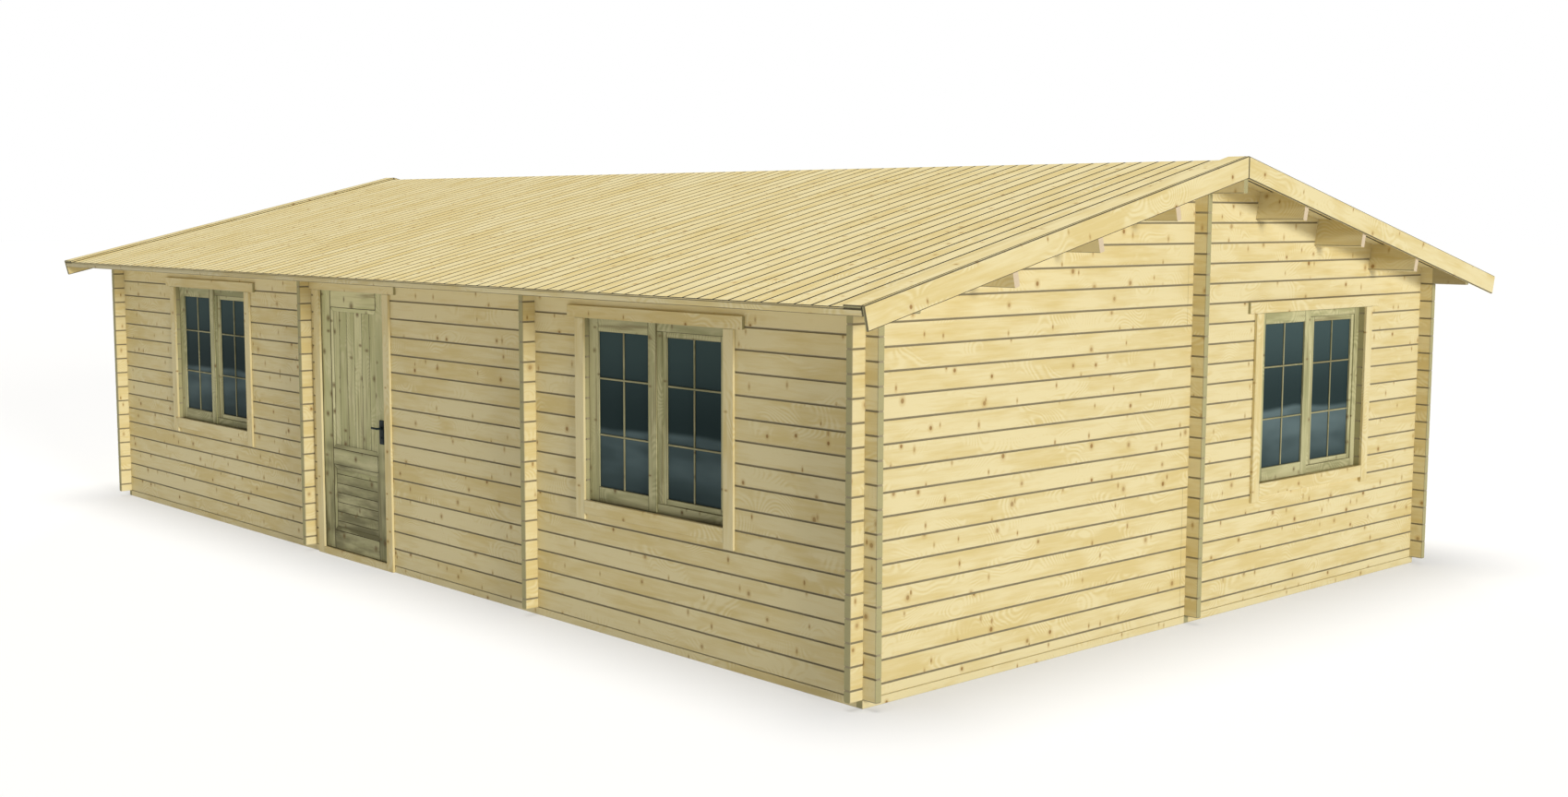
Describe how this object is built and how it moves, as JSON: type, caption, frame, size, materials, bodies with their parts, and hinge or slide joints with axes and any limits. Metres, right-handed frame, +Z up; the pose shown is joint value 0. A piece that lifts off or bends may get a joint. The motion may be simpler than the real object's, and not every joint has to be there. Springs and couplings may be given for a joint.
{
  "type": "wooden log house",
  "caption": "Single-storey house of machined logs with interlocked corners, low gabled board roof on purlins, casement windows and an inward-opening front door.",
  "frame": {"origin": "middle of the roof's outline, at ground level under the bearers", "axes": "+X along the ridge towards the gable with the window, -Y towards the front with the door, +Z up"},
  "size_m": [10.756, 6.9934, 3.1111],
  "materials": {
    "log_pine": "planed pine logs, bare",
    "board_pine": "planed pine boards, bare",
    "bearer_wood": "sawn, weathered",
    "joinery_wood": "treated, greenish",
    "window_glass": "clear, dark behind",
    "black_metal": "satin black",
    "hinge_steel": "zinc plated"
  },
  "bodies": {
    "house": {"outer_bearers": "bearer_wood", "inner_bearers": "bearer_wood", "floor_battens": "bearer_wood", "floor_boards": "board_pine", "front_wall_left": "log_pine", "front_wall_right": "log_pine", "back_wall": "log_pine", "left_gable_wall": "log_pine", "right_gable_wall": "log_pine", "left_cross_wall": "log_pine", "right_cross_wall": "log_pine", "spine_wall": "log_pine", "front_wall_plate": "log_pine", "back_wall_plate": "log_pine", "ridge_purlin": "log_pine", "front_purlins": "log_pine", "back_purlins": "log_pine", "front_roof_deck": "board_pine", "back_roof_deck": "board_pine", "left_barge_boards": "board_pine", "right_barge_boards": "board_pine", "verge_caps": "board_pine", "eave_fascias": "board_pine", "front_left_window_frame": "joinery_wood", "front_left_window_sashes": "joinery_wood", "front_left_window_glass": "window_glass", "front_left_window_trim": "board_pine", "front_right_window_frame": "joinery_wood", "front_right_window_sashes": "joinery_wood", "front_right_window_glass": "window_glass", "front_right_window_trim": "board_pine", "gable_window_frame": "joinery_wood", "gable_window_sashes": "joinery_wood", "gable_window_glass": "window_glass", "gable_window_trim": "board_pine", "door_frame": "joinery_wood", "door_outer_trim": "board_pine", "door_inner_trim": "board_pine", "door_threshold": "board_pine", "door_hinge_pins": "hinge_steel"},
    "door": {"door_stiles_and_rails": "joinery_wood", "door_panels": "joinery_wood", "door_handles": "black_metal", "door_hinge_barrels": "hinge_steel"}
  },
  "joints": [
    {"name": "door_swing", "type": "hinge", "parent": "house", "child": "door", "pos_m": [-1.0955, -3.041, 1], "axis": [0, 0, 1], "range_deg": [0, 90]}
  ]
}
